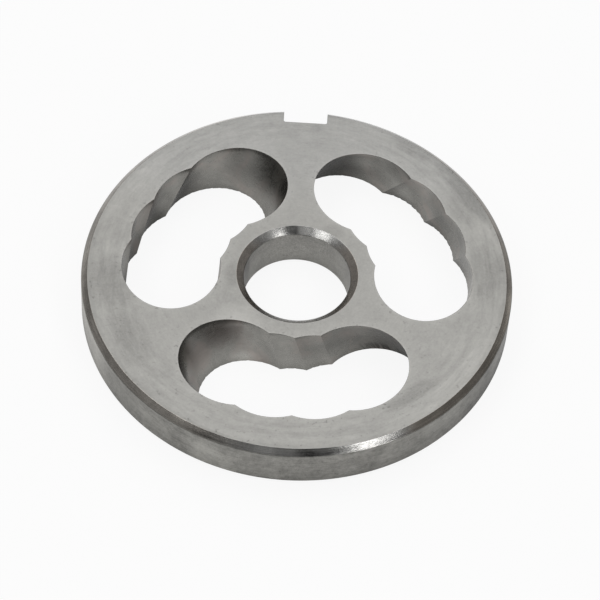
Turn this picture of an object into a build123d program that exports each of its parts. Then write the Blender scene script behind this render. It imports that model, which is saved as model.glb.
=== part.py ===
from build123d import *
import os
from math import asin, cos, degrees, radians

# Pre-cutter plate of a mincer, one flat steel disc. The mincer's shaft turns in its bore, and the notch
# in its rim keys it against turning. Meat passes through three curved openings. Each is drilled as a row
# of overlapping holes that lean along the row, so its walls are scalloped and its upper edges cut.
# The bore's axis is +Z, the origin lies on it halfway through the plate, and the notch points to +Y.
# Lengths are in millimetres and angles in degrees.

# The turned disc
outer_diameter = 82
thickness = 10
rim_chamfer = 1.15

# The bore and the steeper chamfer at both of its ends
bore_diameter = 20.3
bore_chamfer_width = 1.4
bore_chamfer_depth = 1.1

# The openings, and the steel that is left round them at the upper face
opening_count = 3
holes_per_opening = 4
hub_wall = 4.45
rim_wall = 7.6
bridge_width = 4.6
hole_lean = 24.4
pattern_turn = 0.6

# The keying notch
notch_width = 8.6
notch_depth = 3.65
notch_corner_radius = 0.4

# What follows from these sizes
outer_radius = outer_diameter / 2
bore_radius = bore_diameter / 2
half_thickness = thickness / 2
hole_diameter = outer_radius - rim_wall - bore_radius - hub_wall
hole_radius = hole_diameter / 2
hole_circle_radius = bore_radius + hub_wall + hole_radius

# A leaning hole meets the face in an ellipse, longer along the row than the hole is wide
hole_run = hole_diameter / cos(radians(hole_lean))
bridge_angle = 2 * degrees(asin((hole_run + bridge_width) / (2 * hole_circle_radius)))
opening_pitch = 360 / opening_count
hole_pitch = (opening_pitch - bridge_angle) / (holes_per_opening - 1)


def turned_disc():
    """The disc as it leaves the lathe: its section, chamfered alike on both faces, turned about +Z."""
    upper_outline = Polyline(
        (bore_radius, 0),
        (bore_radius, half_thickness - bore_chamfer_depth),
        (bore_radius + bore_chamfer_width, half_thickness),
        (outer_radius - rim_chamfer, half_thickness),
        (outer_radius, half_thickness - rim_chamfer),
        (outer_radius, 0),
        close=True,
    )
    upper_half = make_face(upper_outline)
    section = upper_half + mirror(upper_half, about=Plane.XZ)
    return revolve(Plane.XZ * section, axis=Axis.Z)


def leaning_hole(angle):
    """The drill's path for one hole: centred on the hole circle at the upper face, at this angle about +Z,
    and leaning so that it comes out further round, counter-clockwise as seen from above."""
    length = 2 * (thickness + hole_diameter)
    centre = Rot(Z=angle) * Pos(X=hole_circle_radius, Z=half_thickness)
    return centre * Rot(X=hole_lean) * Cylinder(hole_radius, length)


def opening_holes(middle_angle):
    """The row of holes that makes one opening, spread evenly about its middle."""
    first_angle = middle_angle - hole_pitch * (holes_per_opening - 1) / 2
    return [leaning_hole(first_angle + number * hole_pitch) for number in range(holes_per_opening)]


def keying_notch():
    """The block milled out of the rim, with its two inner corners rounded by the cutter."""
    reach = notch_depth + outer_radius
    outline = Pos(Y=outer_radius - notch_depth + reach / 2) * Rectangle(notch_width, reach)
    inner_corners = outline.vertices().sort_by(Axis.Y)[:2]
    return extrude(fillet(inner_corners, notch_corner_radius), amount=thickness, both=True)


def precutter_plate():
    """The finished plate: the disc less its openings, the first of them opposite the notch."""
    plate = turned_disc()
    for number in range(opening_count):
        middle_angle = -90 + pattern_turn + number * opening_pitch
        plate -= opening_holes(middle_angle)
    return plate - keying_notch()


os.makedirs("parts", exist_ok=True)
export_step(precutter_plate(), "parts/precutter_plate.step")
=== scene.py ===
from math import cos, pi, radians, sin, tan

import bmesh
import bpy
import numpy as np
from mathutils import Matrix, Vector, geometry


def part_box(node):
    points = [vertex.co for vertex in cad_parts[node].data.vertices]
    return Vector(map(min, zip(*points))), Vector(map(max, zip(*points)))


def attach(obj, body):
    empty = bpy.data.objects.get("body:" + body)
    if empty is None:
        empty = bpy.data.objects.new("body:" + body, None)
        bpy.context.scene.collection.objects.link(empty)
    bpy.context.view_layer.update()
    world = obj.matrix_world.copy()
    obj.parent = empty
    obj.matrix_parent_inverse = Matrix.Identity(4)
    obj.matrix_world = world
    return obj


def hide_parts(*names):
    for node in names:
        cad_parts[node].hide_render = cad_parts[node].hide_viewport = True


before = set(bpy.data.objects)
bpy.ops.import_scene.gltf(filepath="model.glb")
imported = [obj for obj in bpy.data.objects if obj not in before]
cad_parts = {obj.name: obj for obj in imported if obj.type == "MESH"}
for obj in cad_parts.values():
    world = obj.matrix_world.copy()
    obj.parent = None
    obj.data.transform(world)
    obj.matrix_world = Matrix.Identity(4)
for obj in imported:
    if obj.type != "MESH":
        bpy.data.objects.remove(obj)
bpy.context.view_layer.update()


# The turned rim. The plate starts as a disc of tool steel turned on a lathe, with a plain rim and a
# chamfer at both faces. Its rim keeps the lathe's fine lines round it, and the chamfers are cut
# brighter. Every surface of the plate is one patch here, and the patches are joined at the end.

mm = 0.001
low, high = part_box("precutter_plate")
outer_radius = (high.x - low.x) / 2
half_thickness = (high.z - low.z) / 2
rim_chamfer = 1.15 * mm
rim_edge_ease = 0.03 * mm
notch_width = 8.6 * mm
notch_edge_ease = 0.10 * mm

patches = []


def add_patch(points, marks, finish):
    """Keeps a grid of points (rows, columns, 3) as one surface, with the place of each point on that
    surface in millimetres, along and across the cut that made it, and the name of its finish."""
    patches.append((points, marks, finish))


ease_steps = 4


def eased(corners, reach):
    """A line of straight runs whose inner corners are eased: each corner gives way to a curve that
    starts and ends at that reach from it, (1-t)^2 start + 2t(1-t) corner + t^2 end."""
    corners = np.array(corners)
    t = np.linspace(0, 1, ease_steps + 1)[:, None]
    line = [corners[:1]]
    for before, corner, after in zip(corners, corners[1:], corners[2:]):
        start = corner + (before - corner) * reach / np.linalg.norm(before - corner)
        end = corner + (after - corner) * reach / np.linalg.norm(after - corner)
        line.append((1 - t) ** 2 * start + 2 * t * (1 - t) * corner + t ** 2 * end)
    line.append(corners[-1:])
    return np.concatenate(line)


def edge_growth(z, ease):
    """How far a cut stands back from its own wall at height z, where its edge at either face is
    rounded by a quarter circle: ease - sqrt(ease^2 - (ease - depth)^2), and nothing deeper than ease."""
    short = np.clip(ease - (half_thickness - np.abs(z)), 0, ease)
    return ease - np.sqrt(ease ** 2 - short ** 2)


# The section starts where the face ends, so that the face's own edge is its first point
rim_upper = [
    (outer_radius - rim_chamfer - 2 * rim_edge_ease, half_thickness),
    (outer_radius - rim_chamfer, half_thickness),
    (outer_radius, half_thickness - rim_chamfer),
]
rim_section = eased(rim_upper + [(r, -z) for r, z in rim_upper[::-1]], rim_edge_ease)[1:-1]
rim_radii, rim_heights = rim_section.T
notch_half_widths = notch_width / 2 + edge_growth(rim_heights, notch_edge_ease)

rim_segments = 540
around = np.linspace(0, 1, rim_segments + 1)
half_gap = np.arcsin(notch_half_widths / rim_radii)[:, None]
rim_angles = pi / 2 + half_gap + (2 * pi - 2 * half_gap) * around
rim_points = np.stack([
    rim_radii[:, None] * np.cos(rim_angles),
    rim_radii[:, None] * np.sin(rim_angles),
    rim_heights[:, None] + 0 * rim_angles,
], axis=-1)
rim_lengths = np.r_[0, np.cumsum(np.linalg.norm(np.diff(rim_section, axis=0), axis=1))]
rim_marks = np.stack([rim_angles * outer_radius, rim_lengths[:, None] + 0 * rim_angles], axis=-1) / mm
add_patch(rim_points, rim_marks, "turned rim")


class Wire:
    """One output of a material's node. Python's operators on it add Math nodes, so 1 - mask works."""

    def __init__(self, nodes, socket):
        self.nodes = nodes
        self.socket = socket

    def __add__(self, other):
        return self.nodes.math("ADD", self, other)

    def __sub__(self, other):
        return self.nodes.math("SUBTRACT", self, other)

    def __rsub__(self, other):
        return self.nodes.math("SUBTRACT", other, self)

    def __mul__(self, other):
        return self.nodes.math("MULTIPLY", self, other)

    def __truediv__(self, other):
        return self.nodes.math("DIVIDE", self, other)

    __radd__ = __add__
    __rmul__ = __mul__


class Nodes:
    """The nodes of one material or of the world. place is where on the object they are, in millimetres."""

    def __init__(self, owner):
        owner.use_nodes = True
        self.tree = owner.node_tree
        self.tree.nodes.clear()

    def add(self, kind, settings, sockets):
        """One node of any kind: its settings first, then its sockets, each a value or a wire."""
        node = self.tree.nodes.new(kind)
        for name, value in settings.items():
            setattr(node, name, value)
        inputs = {socket.identifier: socket for socket in node.inputs}
        for name, value in sockets.items():
            if isinstance(value, Wire):
                self.tree.links.new(value.socket, inputs[name])
            else:
                inputs[name].default_value = value
        return {socket.identifier: Wire(self, socket) for socket in node.outputs}

    def math(self, operation, *values):
        names = ("Value", "Value_001", "Value_002")
        return self.add("ShaderNodeMath", {"operation": operation}, dict(zip(names, values)))["Value"]

    def vector_math(self, operation, first, second):
        names = {"Vector": first, "Scale" if operation == "SCALE" else "Vector_001": second}
        made = self.add("ShaderNodeVectorMath", {"operation": operation}, names)
        return made["Value" if operation in ("LENGTH", "DOT_PRODUCT") else "Vector"]

    def place(self):
        object_place = self.add("ShaderNodeTexCoord", {}, {})["Object"]
        return self.vector_math("SCALE", object_place, 1 / mm)

    def parts(self, vector):
        made = self.add("ShaderNodeSeparateXYZ", {}, {"Vector": vector})
        return made["X"], made["Y"], made["Z"]

    def vector(self, x, y, z):
        return self.add("ShaderNodeCombineXYZ", {}, {"X": x, "Y": y, "Z": z})["Vector"]

    def noise(self, vector, size, detail=2.0, roughness=0.5, distortion=0.0):
        """Cloudy noise from -1 to 1 whose largest features are about size apart."""
        sockets = {"Vector": vector, "Scale": 1 / size, "Detail": detail, "Roughness": roughness}
        made = self.add("ShaderNodeTexNoise", {}, {**sockets, "Distortion": distortion})
        return 2 * made["Fac"] - 1

    def ramp(self, value, start, end):
        """0 up to start, 1 from end on, and a smooth rise between; start may be the larger."""
        settings = {"interpolation_type": "SMOOTHSTEP", "clamp": True}
        sockets = {"Value": value, "From Min": start, "From Max": end}
        return self.add("ShaderNodeMapRange", settings, sockets)["Result"]

    def spot(self, x, y, azimuth, radius, length, width):
        """A soft mark on the plate, 1 at its middle and 0 outside an ellipse of that length round the
        plate and width across, whose middle lies at that azimuth in degrees and that radius."""
        across_x, across_y = cos(radians(azimuth)), sin(radians(azimuth))
        across = (x * across_x + y * across_y - radius) / (width / 2)
        along = (y * across_x - x * across_y) / (length / 2)
        return self.ramp(across * across + along * along, 1.0, 0.0)

    def spots(self, x, y, marks):
        """Several spots added up, each given as its weight and then what spot takes of it."""
        return sum(weight * self.spot(x, y, *mark) for weight, *mark in marks)

    def blot(self, place, middle, sizes, ragged=0.0):
        """A soft mark in space, 1 at its middle and 0 outside an ellipsoid of those sizes in millimetres,
        whose outline moves in and out by the values of ragged, as a share of its size."""
        away = self.vector_math("SUBTRACT", place, middle)
        away = self.vector_math("DIVIDE", away, tuple(size / 2 for size in sizes))
        return self.ramp(self.vector_math("LENGTH", away, (0, 0, 0)) + ragged, 1.0, 0.0)

    def blots(self, place, marks):
        """Several blots added up, each given as its weight, its middle and its sizes."""
        return sum(weight * self.blot(place, middle, sizes) for weight, middle, sizes in marks)

    def mix(self, factor, first, second):
        """A colour between two."""
        sockets = {"Factor_Float": factor, "A_Color": first, "B_Color": second}
        return self.add("ShaderNodeMix", {"data_type": "RGBA"}, sockets)["Result_Color"]

    def steel(self, colour, roughness, height, bump_distance, glancing=1.0):
        """The steel's own shader, with the finish's relief in millimetres times bump_distance. glancing is
        the share kept of the reflection that is seen along the surface."""
        bump = {"Height": height, "Distance": bump_distance * mm, "Strength": 1.0}
        normal = self.add("ShaderNodeBump", {}, bump)["Normal"]
        sockets = {"Base Color": colour, "Roughness": roughness, "Metallic": 1.0, "Normal": normal}
        sockets["Specular Tint"] = (glancing, glancing, glancing, 1.0)
        made = self.add("ShaderNodeBsdfPrincipled", {}, sockets)
        self.add("ShaderNodeOutputMaterial", {}, {"Surface": made["BSDF"]})


finishes = {}


def new_finish(name):
    finishes[name] = bpy.data.materials.new(name)
    return Nodes(finishes[name])


# The rim's colour, and the chamfer cut's in three places: browner at the left and right, and lighter on the
# left and darker on the right as painted light and painted shade
rim_colour = (0.254, 0.249, 0.232)
left_cut_colour = (0.455, 0.428, 0.390)
front_cut_colour = (0.350, 0.346, 0.334)
right_cut_colour = (0.300, 0.274, 0.241)


def turned_rim_finish():
    """Fine lathe lines round the rim under soft mottling and small pits, painted light in two places and
    painted shade in one and towards its lower edge, and a glossier cut on the chamfers, browned where hands
    hold the plate, with painted light and shade along it."""
    n = new_finish("turned rim")
    place = n.place()
    x, y, z = n.parts(place)
    radius = n.vector_math("LENGTH", n.vector(x, y, 0.0), (0, 0, 0))
    rim_radius = 41
    chamfer_middle = 40.4
    on_chamfer = n.ramp(radius, rim_radius - 0.07, rim_radius - 0.17)
    lines = n.noise(n.vector(x * 0.15, y * 0.15, z * 4), 1.0, 3, 0.6)
    mottle = n.noise(place, 5.0, 5, 0.62, 0.5)
    small = n.noise(place, 0.9, 3, 0.6)
    grain = n.noise(place, 0.18, 2, 0.6)
    pits = n.ramp(n.noise(place, 0.55, 1, 0.5), 0.26, 0.52)

    # The rim itself, with painted shade towards its lower edge and at the right, and painted light at the
    # left and low at the front left
    left_rim_painted_light = n.spot(x, y, 197, rim_radius, 28, 12)
    low_rim_painted_light = n.spot(x, y, 250, rim_radius, 12, 8) * n.ramp(z, 3.5, -0.5)
    right_rim_painted_shade = n.spot(x, y, 338, rim_radius, 30, 12)
    shade = 1 + 0.50 * mottle + 0.42 * small + 0.35 * lines + 0.35 * grain - 0.22 * pits
    shade = shade + 0.60 * left_rim_painted_light + 0.50 * low_rim_painted_light
    shade = shade - 0.26 * right_rim_painted_shade - (0.12 + 0.12 * right_rim_painted_shade) * n.ramp(z, 1.5, -4.0)
    side = n.vector_math("SCALE", rim_colour, shade)

    # The chamfers, with painted shade at both sides and at the back, and painted light and shade along the
    # front: a painted glint, two darker patches, and where the right front lamp is mirrored a painted
    # highlight that is mottled and brightest next to the rim
    lengthwise = n.noise(n.vector(x * 0.10, y * 0.10, z * 5), 1.0, 2, 0.6)
    at_sides = n.ramp(n.math("ABSOLUTE", x), 37.0, 40.0)
    at_back = n.ramp(y, 4.0, 12.0) * n.ramp(n.math("ABSOLUTE", x), 14.0, 28.0)
    front_painted_lighting = [
        (-0.42, 247.5, chamfer_middle, 10, 4),
        (0.35, 264, chamfer_middle, 5, 3),
        (-0.58, 278, chamfer_middle, 11, 3),
    ]
    painted_highlight = 0.50 * n.ramp(radius, 40.1, 40.9) - 0.22 + 0.6 * small
    painted_highlight = n.spot(x, y, 290, chamfer_middle, 15, 6) * painted_highlight
    cut_shade = 1 + 0.55 * grain + 0.50 * lengthwise + 0.55 * mottle
    cut_shade = cut_shade + n.spots(x, y, front_painted_lighting) + painted_highlight
    cut_shade = cut_shade * (1 - 0.42 * at_sides) * (1 - 0.40 * at_back)
    # Painted light on the right cut near azimuth 349
    right_shade = cut_shade + 0.40 * n.spot(x, y, 349, chamfer_middle, 16, 4)
    left_cut = n.vector_math("SCALE", left_cut_colour, cut_shade)
    front_cut = n.vector_math("SCALE", front_cut_colour, cut_shade)
    right_cut = n.vector_math("SCALE", right_cut_colour, right_shade)
    cut = n.mix(n.ramp(x, 20.0, 24.0), front_cut, right_cut)
    cut = n.mix(n.ramp(x, -6.0, -18.0), cut, left_cut)

    colour = n.mix(on_chamfer, side, cut)
    roughness = 0.44 + 0.06 * small * (1 - on_chamfer) - 0.22 * on_chamfer
    rim_height = 0.4 * lines + 0.3 * small
    cut_height = 0.30 * grain + 0.05 * lengthwise
    height = rim_height * (1 - on_chamfer) + cut_height * on_chamfer
    n.steel(colour, roughness, height, bump_distance=0.02)


turned_rim_finish()


# The bore. The mincer's shaft turns in it. It is bored through the middle of the disc, with a
# steeper chamfer at both ends, and worn smooth.

bore_radius = 10.15 * mm
bore_chamfer_width = 1.4 * mm
bore_chamfer_depth = 1.1 * mm
bore_edge_ease = 0.04 * mm
bore_segments = 240

bore_upper = [
    (bore_radius + bore_chamfer_width + 2 * bore_edge_ease, half_thickness),
    (bore_radius + bore_chamfer_width, half_thickness),
    (bore_radius, half_thickness - bore_chamfer_depth),
]
bore_section = eased(bore_upper + [(r, -z) for r, z in bore_upper[::-1]], bore_edge_ease)[1:-1]
bore_radii, bore_heights = bore_section.T
bore_angles = np.linspace(0, 2 * pi, bore_segments + 1)
bore_points = np.stack([
    bore_radii[:, None] * np.cos(bore_angles),
    bore_radii[:, None] * np.sin(bore_angles),
    bore_heights[:, None] + 0 * bore_angles,
], axis=-1)
bore_lengths = np.r_[0, np.cumsum(np.linalg.norm(np.diff(bore_section, axis=0), axis=1))]
bore_marks = np.stack(np.broadcast_arrays(bore_angles * bore_radius, bore_lengths[:, None]), axis=-1) / mm
add_patch(bore_points, bore_marks, "bored steel")


bore_colour = (0.300, 0.294, 0.276)
brown_cut_colour = (0.382, 0.350, 0.316, 1.0)
grey_cut_colour = (0.355, 0.348, 0.335, 1.0)
back_cut_colour = (0.350, 0.347, 0.336)


def bored_finish():
    """Grainy steel with faint rings left by the boring tool, painted light and shade on the wall, and a
    glossier cut on the chamfers, brown at both sides and darker from there to the front, with painted light
    and shade at the back."""
    n = new_finish("bored steel")
    place = n.place()
    x, y, z = n.parts(place)
    radius = n.vector_math("LENGTH", n.vector(x, y, 0.0), (0, 0, 0))
    wall_radius = 10.15
    chamfer_middle = 10.9
    on_chamfer = n.ramp(radius, wall_radius + 0.05, wall_radius + 0.15)
    lines = n.noise(n.vector(x * 0.2, y * 0.2, z * 5), 1.0, 3, 0.6)
    mottle = n.noise(place, 4.0, 4, 0.6)
    small = n.noise(place, 0.9, 3, 0.6)
    grain = n.noise(place, 0.20, 2, 0.6)
    pits = n.ramp(n.noise(place, 0.45, 1, 0.5), 0.24, 0.48)

    # The wall, with painted light low down and at its right end, and painted shade high up and at its left
    # end
    high_up = n.ramp(z, -1.5, 2.5) * n.ramp(x, 9.0, 5.0)
    left_end = n.spot(x, y, 166, wall_radius, 5, 4)
    wall_shade = 1 + 0.22 * mottle + 0.26 * small + 0.12 * lines + 0.6 * grain - 0.22 * pits
    wall_shade = wall_shade + 0.12 * n.ramp(z, 1.0, -4.0) + 0.15 * n.ramp(x, 5.0, 9.0)
    wall = n.vector_math("SCALE", bore_colour, wall_shade - 0.14 * high_up - 0.40 * left_end)

    # The chamfers: painted shade and painted light in the gap between the two highlights at the back, darker
    # beside the front, and paler on the right and right at the front
    back_painted_lighting = [(-0.50, 98.5, chamfer_middle, 4, 3), (0.70, 85.5, chamfer_middle, 3, 3)]
    beside_front = n.ramp(y, -3.0, -7.0) * n.ramp(n.math("ABSOLUTE", x), 2.5, 4.5)
    darkening = (0.22 + 0.12 * n.ramp(x, 0.0, -6.0)) * beside_front
    cut_shade = 1 + 0.60 * grain + 0.35 * small + 0.15 * lines
    side_shade = cut_shade + 0.40 * mottle - darkening + 0.16 * n.ramp(x, 0.0, 6.0) + 0.45 * n.ramp(y, -8.4, -9.8)
    side_colour = n.mix(n.ramp(y, -7.5, -9.5), brown_cut_colour, grey_cut_colour)
    side_cut = n.vector_math("SCALE", side_colour, side_shade)
    back_cut = n.vector_math("SCALE", back_cut_colour, cut_shade + n.spots(x, y, back_painted_lighting))
    cut = n.mix(n.ramp(y, 5.5, 8.5), side_cut, back_cut)

    colour = n.mix(on_chamfer, wall, cut)
    roughness = 0.36 + 0.05 * small * (1 - on_chamfer) - 0.10 * on_chamfer
    wall_height = 0.4 * lines + 0.3 * small
    cut_height = 0.25 * grain + 0.03 * lines
    height = wall_height * (1 - on_chamfer) + cut_height * on_chamfer
    n.steel(colour, roughness, height, bump_distance=0.02)


bored_finish()


# The openings. Meat passes through these three. Each is drilled as a row of four overlapping holes
# that lean along the row, so its wall is scalloped, the cusps between the holes slant, and the
# outline at the lower face has moved on round the plate.

opening_count = 3
holes_per_opening = 4
hole_radius = 9.4 * mm
hole_circle_radius = 24.0 * mm
hole_lean = radians(24.4)
hole_pitch = radians(18.8468)
pattern_turn = radians(0.6)
opening_edge_ease = 0.05 * mm
chip_sizes = [0.06 * mm, 0.20 * mm, 0.07 * mm]
chip_depth = 0.35 * mm
last_hole_share = 0.25
end_arc_segments = 140
side_arc_segments = 30
half_wall_steps = 5

# The heights at which a wall has points, closer together at its eased edges and where it is chipped
ease_turn = np.linspace(0, pi / 2, ease_steps + 1)[:-1]
ease_rows = half_thickness - opening_edge_ease * (1 - np.cos(ease_turn))
upper_rows = np.r_[ease_rows, np.linspace(half_thickness - opening_edge_ease, 0, half_wall_steps + 1)]
chip_rows = -half_thickness + chip_depth * np.array([1.0, 0.6, 0.3])
wall_heights = np.sort(np.r_[upper_rows, -upper_rows[:-1], chip_rows])[::-1]
wall_growth = edge_growth(wall_heights, opening_edge_ease)


def hole_outline(turn, z, growth):
    """A leaning hole cut level at height z, seen from its own place on the hole circle: an ellipse whose
    half-axes are the radius, outward, and the radius over cos(lean), along the row. Its centre moves
    along the row by tan(lean) for each step down from the upper face."""
    outward = hole_circle_radius + (hole_radius + growth) * np.cos(turn)
    along = (hole_radius + growth) / cos(hole_lean) * np.sin(turn) + tan(hole_lean) * (half_thickness - z)
    return outward, along


def turn_in_next_hole(turn, z, growth, step):
    """Where a point of one hole's outline lies for the hole one step further round: its turn about
    that hole, and the square of how many times further out than that hole's own outline it is."""
    outward, along = hole_outline(turn, z, growth)
    there_outward = outward * cos(step) + along * sin(step) - hole_circle_radius
    there_along = along * cos(step) - outward * sin(step) - tan(hole_lean) * (half_thickness - z)
    across = there_outward / (hole_radius + growth)
    down_row = there_along / (hole_radius + growth) * cos(hole_lean)
    return np.arctan2(down_row, across), across ** 2 + down_row ** 2


def cusp_turn(outside, inside):
    """The turn at which a hole's outline enters the next hole, at every height at once, by halving the
    span between a turn that lies outside the next hole and one that lies inside it."""
    outside = outside + 0 * wall_heights
    inside = inside + 0 * wall_heights
    halvings = 50
    for _ in range(halvings):
        middle = (outside + inside) / 2
        is_out = turn_in_next_hole(middle, wall_heights, wall_growth, hole_pitch)[1] > 1
        outside = np.where(is_out, middle, outside)
        inside = np.where(is_out, inside, middle)
    return middle


leave_rim_side = cusp_turn(0.0, radians(90))
leave_hub_side = cusp_turn(radians(200), radians(90))
enter_rim_side = turn_in_next_hole(leave_rim_side, wall_heights, wall_growth, hole_pitch)[0]
enter_hub_side = turn_in_next_hole(leave_hub_side, wall_heights, wall_growth, hole_pitch)[0] % (2 * pi)


def chipped(opening, hole, turns, share):
    """How far the drill tore the lower edge out as it broke through: the positive part of three sines
    along the edge, 3.0, 1.3 and 0.8 mm long, times the root of a half sine that is none where the arc
    meets its neighbours, times (1 - height / chip depth)^2. The last hole of each row is cleaner."""
    run = turns * hole_radius / mm
    tear = np.sin(4.9 * run + opening) + 0.7 * np.sin(8.3 * run + 2.0) + 0.6 * np.sin(2.1 * run + 4.0)
    up_the_wall = np.clip((wall_heights[:, None] + half_thickness) / chip_depth, 0, 1)
    size = chip_sizes[opening] * (last_hole_share if hole == holes_per_opening - 1 else 1)
    return size * np.clip(tear, 0, None) * np.sqrt(np.sin(pi * share)) * (1 - up_the_wall) ** 2


def wall_arc(opening, hole, first_turn, last_turn, segments, marks_start):
    """One hole's share of an opening's wall: its outline between two turns, at every height. Its marks
    are how far round the drill each point lies, and how far down it, measured from its own start."""
    share = np.linspace(0, 1, segments + 1)
    turns = first_turn[:, None] + (last_turn - first_turn)[:, None] * share
    heights = wall_heights[:, None] + 0 * turns
    just_inside = 1e-9  # so that the half sine never comes out below 0 at its ends
    inner_share = np.clip(share, just_inside, 1 - just_inside)
    growth = wall_growth[:, None] + chipped(opening, hole, turns, inner_share)
    outward, along = hole_outline(turns, heights, growth)
    middle = -pi / 2 + pattern_turn + opening * 2 * pi / opening_count
    angle = middle + (hole - (holes_per_opening - 1) / 2) * hole_pitch
    points = np.stack([
        outward * cos(angle) - along * sin(angle),
        outward * sin(angle) + along * cos(angle),
        heights,
    ], axis=-1)
    round_the_drill = marks_start + turns * hole_radius / mm
    down_the_drill = ((half_thickness - heights) / cos(hole_lean)
                      + (hole_radius * np.sin(turns)) * tan(hole_lean)) / mm
    return points, np.stack([round_the_drill, down_the_drill], axis=-1)


# Every arc's marks start at a place of their own, so that no two walls have the same finish
opening_marks_step = 400
arc_marks_step = 60

opening_outlines = []
for opening in range(opening_count):
    last = holes_per_opening - 1
    arcs = [(0, leave_hub_side, leave_rim_side + 2 * pi, end_arc_segments)]
    arcs += [(hole, enter_rim_side, leave_rim_side, side_arc_segments) for hole in range(1, last)]
    arcs += [(last, enter_rim_side, enter_hub_side, end_arc_segments)]
    arcs += [(hole, leave_hub_side, enter_hub_side, side_arc_segments) for hole in range(last - 1, 0, -1)]
    arc_points = []
    for number, (hole, first_turn, last_turn, segments) in enumerate(arcs):
        marks_start = opening_marks_step * opening + arc_marks_step * number
        points, marks = wall_arc(opening, hole, first_turn, last_turn, segments, marks_start)
        add_patch(points, marks, "drilled wall")
        arc_points.append(points[:, :-1])
    opening_outlines.append(np.concatenate(arc_points, axis=1))


drilled_colour = (0.272, 0.267, 0.250)
stained_colour = (0.290, 0.266, 0.247)


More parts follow.
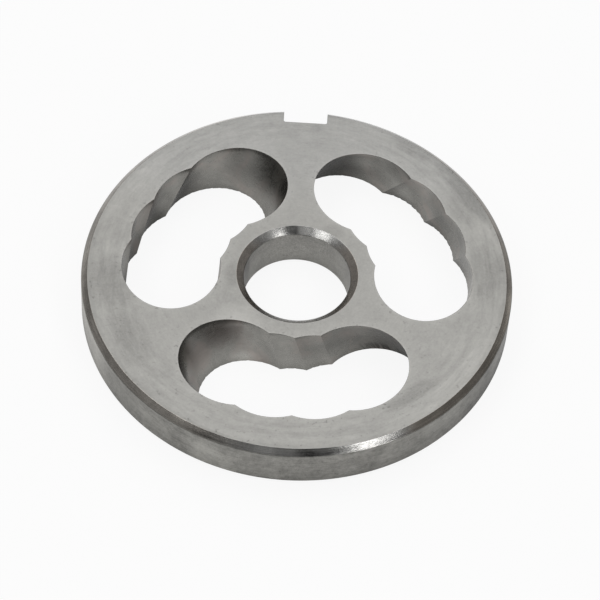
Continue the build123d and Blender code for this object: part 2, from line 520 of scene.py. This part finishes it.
def drilled_finish():
    """Steel left by the drill: a dull sheen, soft warm stains, faint feed marks round each hole and chatter
    down it, pits near the lower edge, and painted shade and painted light by the way a wall faces and leans
    and by where it is."""
    n = new_finish("drilled wall")
    place = n.place()
    x, y, z = n.parts(place)
    stain = n.noise(place, 7.0, 4, 0.6, 0.6)
    small = n.noise(place, 1.0, 3, 0.6)
    ragged = 0.5 * n.noise(place, 3.2, 4, 0.6, 0.8)

    # What the drill leaves: rings round the hole, lines down it, and short strokes where it broke through
    drill_marks = n.add("ShaderNodeUVMap", {"uv_map": "tool path"}, {})["UV"]
    round_drill, down_drill, _ = n.parts(drill_marks)
    feed = n.noise(n.vector(round_drill * 0.2, down_drill * 2.5, 0.0), 1.0, 2, 0.5)
    chatter = n.noise(n.vector(round_drill * 2.2, down_drill * 0.25, 3.0), 1.0, 2, 0.5)
    strokes = n.ramp(n.noise(n.vector(round_drill * 2.0, down_drill * 0.15, 7.0), 1.0, 1, 0.5), -0.05, 0.15)
    near_lower = n.ramp(z, -1.0, -4.5)
    pits = n.ramp(n.noise(place, 0.5, 1, 0.5), 0.30, 0.55)

    # Painted shade and painted light, by the way a wall faces and leans and by where it is
    facing = n.add("ShaderNodeNewGeometry", {}, {})["Normal"]
    facing_x, facing_y, lean = n.parts(facing)
    overhang = n.ramp(lean, 0.0, -0.30)
    strokes = strokes * overhang * n.ramp(y, 2.0, -2.0) * n.ramp(z + 1.5 * stain, -1.2, -3.6)
    upward_painted_shade = n.ramp(lean, 0.10, 0.30) * n.ramp(z + 2 * stain, -4.0, 1.5)
    upward_painted_shade = upward_painted_shade * (1 - 0.3 * n.ramp(y, -2.0, 4.0))
    low_left_painted_shade = n.ramp(x, -16.0, -25.0) * n.ramp(z, 2.5, -2.5) * n.ramp(facing_x, 0.35, 0.75)
    hub_side = n.ramp(facing_y, -0.3, -0.8) * n.ramp(y, 0.0, -10.0) * (1 - 0.6 * n.ramp(z, 1.0, -4.0))
    hub_right = n.ramp(facing_x, 0.0, 0.35) * n.ramp(x, -8.0, -2.0)
    hub_painted_shade = hub_side * (0.15 * n.ramp(x, -4.0, 6.0) + 0.22 * hub_right)
    hub_painted_light = hub_side * n.ramp(facing_x, -0.40, -0.65) * n.ramp(x, 0.0, -2.0)
    back_right = n.ramp(x, 21.0, 14.0) * n.ramp(x, -4.0, 2.0) * n.ramp(y, 10.0, 20.0)
    facing_right = n.ramp(facing_x, 0.5, 0.8) * n.ramp(z, -4.0, -1.0) * n.ramp(y, -8.0, -3.0)
    right_side_painted_light = 0.50 * n.ramp(y, 13.0, 7.0) * n.ramp(x, 28.0, 31.0)
    right_side_painted_light = right_side_painted_light + 0.15 * n.ramp(x, 26.5, 30.0) * n.ramp(z, 3.0, 0.0)
    lower_wall_painted_light = n.ramp(z, 1.0, -4.0) * n.ramp(x, -8.0, 0.0) * (1 - 0.5 * back_right)

    # Painted light at places of their own, and painted shade where the weight is below 0, each with its
    # weight, middle and sizes
    front_painted_lighting = [
        (0.32, (14.0, -12.0, 1.8), (13, 9, 10)),
        (0.60, (-8.9, -13.6, -4.2), (8, 5, 5)),
        (0.70, (-19.8, -20.2, 1.0), (5, 6, 10)),
        (0.40, (-19.5, -21.8, 0.3), (4, 4, 6)),
    ]
    right_painted_lighting = [
        (0.60, (19.8, 26.4, -1.8), (7, 7, 9)),
        (0.85, (11.2, 30.5, 1.8), (8, 7, 11)),
        (-0.36, (18.2, 27.6, 3.8), (9, 9, 7)),
    ]
    left_painted_lighting = [
        (0.90, (-3.6, 19.3, 2.0), (6, 6, 8)),
        (1.10, (-3.3, 22.0, 4.8), (5, 9, 4)),
        (0.75, (-20.8, 25.8, 3.6), (8, 8, 6)),
        (0.75, (-27.2, 19.4, -1.4), (5, 6, 6)),
    ]
    # Painted light at one end of the right opening and painted shade further along its rim side, and painted
    # shade on the left opening's back wall
    rim_side = 33.2
    right_end_painted_light = 0.8 * n.spot(x, y, 1.5, rim_side, 4, 3)
    right_edge_painted_shade = 0.22 * n.spot(x, y, 37.2, rim_side, 7, 4) * n.ramp(z, -1.0, 3.0)
    left_wall_painted_shade = 0.20 * n.blot(place, (-12.8, 28.7, -0.8), (14, 9, 13), ragged)
    brown = n.blot(place, (-13.3, -12.7, 2.2), (14, 8, 9), ragged)

    shade = 1 + 0.30 * stain + 0.16 * small + 0.06 * feed + 0.12 * chatter * near_lower
    shade = shade + 0.30 * lower_wall_painted_light + right_side_painted_light + 0.35 * hub_painted_light + right_end_painted_light - right_edge_painted_shade - left_wall_painted_shade
    shade = shade + n.blots(place, front_painted_lighting + right_painted_lighting + left_painted_lighting)
    # What darkens the walls: the drill's strokes and the brown patch, and the rest painted shade
    darker = [
        0.70 * strokes,
        0.28 * back_right * n.ramp(z, -4.0, -1.0),
        0.22 * facing_right,
        hub_painted_shade,
        (0.30 + 0.22 * back_right) * overhang,
        0.34 * upward_painted_shade,
        0.50 * low_left_painted_shade,
        0.36 * brown,
    ]
    for darkening in darker:
        shade = shade * (1 - darkening)
    shade = shade - 0.20 * pits * near_lower

    plain = n.vector_math("SCALE", drilled_colour, shade)
    warm = n.vector_math("SCALE", stained_colour, shade)
    colour = n.mix(n.math("MAXIMUM", n.ramp(stain, -0.1, 0.4), brown), plain, warm)
    roughness = 0.28 + 0.06 * stain + 0.05 * small
    height = 0.15 * feed + 0.2 * chatter + 0.35 * small
    n.steel(colour, roughness, height, bump_distance=0.02, glancing=0.8)


drilled_finish()


# The keying notch. It stops the plate from turning in the mincer. It is milled straight through the
# rim, and the cutter leaves its two inner corners slightly round.

notch_depth = 3.65 * mm
notch_corner_radius = 0.4 * mm
corner_steps = 5
notch_wall_steps = 6
notch_floor_steps = 8

# Half the notch's outline at every height, from the rim in: its wall, then its corner's quarter circle
notch_growth = edge_growth(rim_heights, notch_edge_ease)[:, None]
corner_turn = np.linspace(0, pi / 2, corner_steps + 1)
corner_x = notch_width / 2 - notch_corner_radius
corner_y = outer_radius - notch_depth + notch_corner_radius
corner_reach = notch_corner_radius + notch_growth
wall_start = np.sqrt(rim_radii[:, None] ** 2 - notch_half_widths[:, None] ** 2)
wall_share = np.linspace(0, 1, notch_wall_steps + 1)[:-1]
wall_x = notch_half_widths[:, None] + 0 * wall_share
wall_y = wall_start + (corner_y - wall_start) * wall_share
right_x = np.concatenate([wall_x, corner_x + corner_reach * np.cos(corner_turn)], axis=1)
right_y = np.concatenate([wall_y, corner_y - corner_reach * np.sin(corner_turn)], axis=1)

# The whole outline: that half, the notch's floor, and the same half mirrored
floor_share = np.linspace(1, -1, notch_floor_steps + 1)[1:-1]
floor_x = corner_x * floor_share + 0 * notch_growth
floor_y = corner_y - corner_reach + 0 * floor_share
notch_x = np.concatenate([right_x, floor_x, -right_x[:, ::-1]], axis=1)
notch_y = np.concatenate([right_y, floor_y, right_y[:, ::-1]], axis=1)
notch_points = np.stack([notch_x, notch_y, rim_heights[:, None] + 0 * notch_x], axis=-1)
notch_steps = np.linalg.norm(np.diff(notch_points, axis=1), axis=2)
notch_lengths = np.concatenate([0 * notch_growth, np.cumsum(notch_steps, axis=1)], axis=1)
notch_marks = np.stack([notch_lengths, notch_points[..., 2]], axis=-1) / mm
add_patch(notch_points, notch_marks, "milled notch")


milled_colour = (0.360, 0.360, 0.347)


def milled_finish():
    """The upright marks that the side of a milling cutter leaves, on the brightest cut of the plate."""
    n = new_finish("milled notch")
    place = n.place()
    mill_marks = n.add("ShaderNodeUVMap", {"uv_map": "tool path"}, {})["UV"]
    along, up, _ = n.parts(mill_marks)
    marks = n.noise(n.vector(along * 3, up * 0.2, 0.0), 1.0, 2, 0.5)
    small = n.noise(place, 0.8, 2, 0.5)
    colour = n.vector_math("SCALE", milled_colour, 1 + 0.08 * marks + 0.06 * small)
    n.steel(colour, 0.42 + 0.05 * small, marks + 0.3 * small, bump_distance=0.02)


milled_finish()


# The ground faces. Both faces are surface ground, and then cut against the turning knife, which leaves
# a dull cloudy finish with streaks that run round the plate, and small dark pits.

upper_row, lower_row = 0, -1
face_loops = []
for row in (upper_row, lower_row):
    rim_outline = np.concatenate([rim_points[row][:-1], notch_points[row][:-1]])
    openings_there = [outline[row] for outline in opening_outlines]
    face_loops.append([rim_outline, bore_points[row][:-1], *openings_there])


def inside_loops(points, loops):
    """Whether each point lies inside an odd number of closed outlines: how often a line from it
    towards +X crosses them, counted over all edges at once."""
    crossings = 0
    for loop in loops:
        a = loop[:, :2]
        b = np.roll(a, -1, axis=0)
        spans = (a[:, 1] > points[:, 1:2]) != (b[:, 1] > points[:, 1:2])
        rise = np.where(a[:, 1] == b[:, 1], 1, b[:, 1] - a[:, 1])
        meets = a[:, 0] + (points[:, 1:2] - a[:, 1]) * (b[:, 0] - a[:, 0]) / rise
        crossings = crossings + (spans & (points[:, :1] < meets)).sum(axis=1)
    return crossings % 2 == 1


def flat_face(loops):
    """A flat face as triangles between its outlines: a constrained Delaunay triangulation of their
    points, less the triangles whose middles lie in an opening or outside the plate."""
    points = np.concatenate(loops)
    edges = []
    for loop in loops:
        numbers = sum(map(len, edges)) + np.arange(len(loop))
        edges.append(np.stack([numbers, np.roll(numbers, -1)], axis=1))
    flat = [Vector((x, y)) for x, y in points[:, :2] / mm]
    whole_area, same_place = 0, 1e-6
    made = geometry.delaunay_2d_cdt(flat, np.concatenate(edges).tolist(), [], whole_area, same_place, True)
    _, _, made_triangles, made_from = made[:4]
    source = np.array([ids[0] for ids in made_from])
    triangles = source[np.array(made_triangles)]
    kept = inside_loops(points[triangles].mean(axis=1), loops)
    return points, triangles[kept]


# The face's colour, and a lighter copy of it towards the back, which is painted light
ground_colour = (0.400, 0.394, 0.375, 1.0)
back_ground_colour = (0.422, 0.418, 0.403, 1.0)


def ground_finish():
    """Cloudy grinding, streaks round the plate that are strongest near the rim, dark pits that crowd along
    the edges, a lighter band along every opening with a painted highlight at its edge, painted light towards
    the back, and the marks that use has left."""
    n = new_finish("ground face")
    place = n.place()
    x, y, z = n.parts(place)
    radius = n.vector_math("LENGTH", n.vector(x, y, 0.0), (0, 0, 0))
    angle = n.math("ARCTAN2", y, x)

    # How far it is to the nearest opening: the least distance outside any hole's ellipse at this height
    sector = 2 * pi / opening_count
    drift = tan(hole_lean) * (half_thickness / mm - z) / (hole_circle_radius / mm)
    turned = angle - drift + (pi / 2 - pattern_turn + sector / 2)
    turn = n.math("FLOORED_MODULO", turned, sector) - sector / 2 + drift
    from_opening = 99.0
    for hole in range(holes_per_opening):
        ahead = turn - (hole - (holes_per_opening - 1) / 2) * hole_pitch
        outward = radius * n.math("COSINE", ahead) - hole_circle_radius / mm
        along = (radius * n.math("SINE", ahead) - tan(hole_lean) * (half_thickness / mm - z)) * cos(hole_lean)
        away = n.vector_math("LENGTH", n.vector(outward, along, 0.0), (0, 0, 0)) - hole_radius / mm
        from_opening = n.math("MINIMUM", away, from_opening)

    # The grinding, whose streaks run round the plate
    round_x = x / radius
    round_y = y / radius
    cloud = n.noise(place, 12.0, 5, 0.6, 0.8)
    swirl = n.noise(place, 3.5, 4, 0.6, 1.8)
    streak = n.noise(n.vector(round_x * 5, round_y * 5, radius * 0.8), 1.0, 4, 0.6, 0.4)
    fine = n.noise(n.vector(round_x * 24, round_y * 24, radius * 3), 1.0, 2, 0.5)
    grain = n.noise(place, 0.45, 2, 0.6)
    near_rim = n.ramp(radius, 29.0, 36.0)
    front = n.ramp(y, 0.0, -30.0)
    at_edges = n.math("MAXIMUM", n.ramp(from_opening, 1.8, 0.3), n.ramp(radius, 38.4, 39.6))
    pits = n.ramp(n.noise(place, 0.65, 1, 0.5), 0.27, 0.52) * (0.2 + 0.6 * at_edges + 0.35 * front)
    # Lighter along every opening, with a painted highlight right at its edge
    edge_line = 0.05 * n.ramp(from_opening, 0.45, 0.2) + 0.04 * n.ramp(from_opening, 2.2, 0.5)

    # What use has left on the upper face: stains, rubbed places, and a band worn along one side that is
    # pale out to the rim and stained along its inner edge. Each mark has its weight first.
    stains = [
        (1.00, 36, 38.8, 26, 6),
        (0.50, 29, 35.5, 10, 5),
        (0.60, 58, 12.6, 6, 4),
        (0.90, 185, 12.4, 7, 3.6),
        (1.00, 187, 35, 16, 12),
        (0.70, 210, 35, 15, 9),
        (0.90, 4, 36, 16, 9),
        (0.80, 57, 38.5, 12, 4),
        (0.55, 86.2, 36.4, 4.5, 2.2),
    ]
    rubbed = [
        (1.00, 229, 16, 12, 9),
        (0.40, 226, 12.2, 6, 3),
        (0.50, 150, 37, 22, 8),
        (0.40, 20, 37, 8, 6),
    ]
    wear_start = 36.2 + 1.2 * swirl
    worn = n.ramp(radius, wear_start, wear_start + 0.6) * n.spot(x, y, -38, 37, 40, 16)
    inside_worn = n.ramp(radius, wear_start, wear_start - 0.4) * n.spot(x, y, -50, 34.8, 16, 5)
    dark = n.spots(x, y, stains) + 0.9 * inside_worn
    light = n.spots(x, y, rubbed) + 0.55 * worn
    on_upper_face = n.ramp(z, -1.0, 1.0)

    shade = 1 + 0.17 * cloud + 0.13 * swirl + (0.10 + 0.16 * near_rim) * streak + 0.08 * fine + 0.10 * grain
    shade = shade + (0.16 * light - 0.20 * dark) * on_upper_face
    shade = shade + edge_line - 0.30 * pits - 0.07 * n.ramp(radius, 38.8, 39.6)
    colour = n.mix(n.ramp(y, 12.0, 28.0), ground_colour, back_ground_colour)
    colour = n.vector_math("SCALE", colour, shade)
    roughness = 0.51 + 0.05 * cloud + 0.04 * streak
    height = 0.5 * streak + 0.4 * fine + 0.4 * grain - 0.5 * pits
    n.steel(colour, roughness, height, bump_distance=0.012)


ground_finish()


# The whole plate. It is one piece of steel, so the patches are joined where they meet, and it
# takes the place of the plain CAD plate with the same form and size.

finish_names = list(finishes)
all_points, all_faces, all_marks, face_finish, face_patch = [], [], [], [], []
count = 0


def keep_faces(points, faces, marks, finish):
    """Adds one surface's points and faces to the plate's, with a mark for every corner of its faces."""
    global count
    all_points.append(points)
    all_faces.extend((faces + count).tolist())
    all_marks.append(marks[faces].reshape(-1, 2))
    face_finish.append(np.full(len(faces), finish_names.index(finish)))
    face_patch.append(np.full(len(faces), len(face_patch)))
    count += len(points)


for points, marks, finish in patches:
    rows, columns = points.shape[:2]
    numbers = np.arange(rows * columns).reshape(rows, columns)
    corners = [numbers[:-1, :-1], numbers[1:, :-1], numbers[1:, 1:], numbers[:-1, 1:]]
    keep_faces(points.reshape(-1, 3), np.stack(corners, axis=-1).reshape(-1, 4), marks.reshape(-1, 2), finish)
for loops in face_loops:
    points, triangles = flat_face(loops)
    keep_faces(points, triangles, points[:, :2] / mm, "ground face")

plate_mesh = bpy.data.meshes.new("ground_plate")
plate_mesh.from_pydata(np.concatenate(all_points).tolist(), [], all_faces)
tool_path = np.concatenate(all_marks).astype(np.float32)
plate_mesh.uv_layers.new(name="tool path").uv.foreach_set("vector", tool_path.ravel())
plate_mesh.polygons.foreach_set("material_index", np.concatenate(face_finish).astype(np.int32))
patch_numbers = plate_mesh.attributes.new("patch", "INT", "FACE")
patch_numbers.data.foreach_set("value", np.concatenate(face_patch).astype(np.int32))
for name in finish_names:
    plate_mesh.materials.append(finishes[name])

join_within = 0.002 * mm
joined = bmesh.new()
joined.from_mesh(plate_mesh)
bmesh.ops.remove_doubles(joined, verts=joined.verts, dist=join_within)
bmesh.ops.recalc_face_normals(joined, faces=joined.faces)
joined.to_mesh(plate_mesh)
joined.free()

# Edges between two patches stay sharp, and the rest of each patch is smooth
corner_edges = np.empty(len(plate_mesh.loops), np.int32)
plate_mesh.loops.foreach_get("edge_index", corner_edges)
corners_per_face = np.empty(len(plate_mesh.polygons), np.int32)
plate_mesh.polygons.foreach_get("loop_total", corners_per_face)
patch_of_face = np.empty(len(plate_mesh.polygons), np.int32)
plate_mesh.attributes["patch"].data.foreach_get("value", patch_of_face)
patch_of_corner = np.repeat(patch_of_face, corners_per_face)
lowest = np.full(len(plate_mesh.edges), len(face_patch))
highest = np.full(len(plate_mesh.edges), -1)
np.minimum.at(lowest, corner_edges, patch_of_corner)
np.maximum.at(highest, corner_edges, patch_of_corner)
plate_mesh.attributes.new("sharp_edge", "BOOLEAN", "EDGE").data.foreach_set("value", lowest != highest)
plate_mesh.polygons.foreach_set("use_smooth", np.ones(len(plate_mesh.polygons), bool))
plate_mesh.attributes.remove(plate_mesh.attributes["patch"])

plate = bpy.data.objects.new("ground_plate", plate_mesh)
bpy.context.scene.collection.objects.link(plate)
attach(plate, "root")
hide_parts("precutter_plate")


# The table and backdrop: one pale sheet under the plate. It shows near white, and keeps the plate's
# shadow, also where the steel mirrors it close to the plate.

table_reach = 3.0
table_steps = 8
table_gap = 0.02 * mm
contact_shadow = 5.5 * mm
table_colour = (0.9, 0.9, 0.9, 1)
white = (1, 1, 1, 1)
white_seen = 0.90
white_mirrored = 0.75

table_line = np.linspace(-table_reach, table_reach, table_steps + 1)
table_x, table_y = np.meshgrid(table_line, table_line)
table_height = -half_thickness - table_gap
table_points = np.stack([table_x, table_y, table_height + 0 * table_x], axis=-1).reshape(-1, 3)
numbers = np.arange(table_x.size).reshape(table_x.shape)
corners = [numbers[:-1, :-1], numbers[:-1, 1:], numbers[1:, 1:], numbers[1:, :-1]]
floor_mesh = bpy.data.meshes.new("table_top")
floor_mesh.from_pydata(table_points.tolist(), [], np.stack(corners, axis=-1).reshape(-1, 4).tolist())
floor = bpy.data.objects.new("table_top", floor_mesh)
bpy.context.scene.collection.objects.link(floor)

table_paint = bpy.data.materials.new("pale table")
n = Nodes(table_paint)
light_path = n.add("ShaderNodeLightPath", {}, {})
openness = n.add("ShaderNodeAmbientOcclusion", {"samples": 4}, {"Distance": contact_shadow})["AO"]
mirrored = (light_path["Is Glossy Ray"] + light_path["Is Transmission Ray"]) * openness * openness
whitened = white_seen * light_path["Is Camera Ray"] + white_mirrored * mirrored
white_share = n.math("MINIMUM", whitened, white_seen)
paint = n.add("ShaderNodeBsdfDiffuse", {}, {"Color": table_colour})["BSDF"]
glow = n.add("ShaderNodeEmission", {}, {"Color": white, "Strength": 1.0})["Emission"]
sockets = {"Fac": white_share, "Shader": paint, "Shader_001": glow}
surface = n.add("ShaderNodeMixShader", {}, sockets)["Shader"]
n.add("ShaderNodeOutputMaterial", {}, {"Surface": surface})
floor_mesh.materials.append(table_paint)


# The studio light: wide soft boxes above, behind and at both sides of the plate, and two small ones
# in front, which the chamfers mirror. The room itself is dim.

def soft_box(name, azimuth, elevation, distance, width, height, radiance):
    """A lamp panel facing the plate, its place given in degrees and metres. Its power is what gives it
    that radiance: pi x area x radiance."""
    lamp = bpy.data.lights.new(name, "AREA")
    lamp.shape = "RECTANGLE"
    lamp.size = width
    lamp.size_y = height
    lamp.energy = pi * width * height * radiance
    azimuth, elevation = radians(azimuth), radians(elevation)
    place = distance * Vector((cos(elevation) * cos(azimuth), cos(elevation) * sin(azimuth), sin(elevation)))
    holder = bpy.data.objects.new(name, lamp)
    holder.matrix_world = Matrix.Translation(place) @ place.to_track_quat("Z", "Y").to_matrix().to_4x4()
    bpy.context.scene.collection.objects.link(holder)


soft_box("back_soft_box", 90, 62, 1.4, 1.8, 1.2, 1.0)
soft_box("left_side_soft_box", 180, 66, 1.4, 1.2, 0.8, 1.0)
soft_box("right_side_soft_box", 0, 68, 1.4, 1.2, 0.8, 0.7)
soft_box("right_front_soft_box", -52.3, 37.5, 1.2, 0.21, 0.42, 6.0)
soft_box("left_front_soft_box", -134, 48, 1.2, 0.36, 0.26, 4.0)

room_radiance = 0.25
world = bpy.data.worlds.new("studio")
bpy.context.scene.world = world
n = Nodes(world)
room = n.add("ShaderNodeBackground", {}, {"Color": white, "Strength": room_radiance})["Background"]
n.add("ShaderNodeOutputWorld", {}, {"Surface": room})


# The camera, where the photograph was taken from: a long lens, a little more than half a metre away.

camera_place = Vector((-3.53, -348.97, 468.85)) * mm
camera_target = Vector((0.812, -2.437, 0.0)) * mm
camera_roll = radians(3.922)
focal_length = 183.44
sensor_width = 36

lens = bpy.data.cameras.new("camera")
lens.lens = focal_length
lens.sensor_width = sensor_width
camera = bpy.data.objects.new("camera", lens)
towards_plate = (camera_target - camera_place).to_track_quat("-Z", "Y").to_matrix().to_4x4()
rolled = Matrix.Rotation(camera_roll, 4, "Z")
camera.matrix_world = Matrix.Translation(camera_place) @ towards_plate @ rolled
bpy.context.scene.collection.objects.link(camera)
bpy.context.scene.camera = camera
bpy.context.scene.view_settings.view_transform = "Standard"
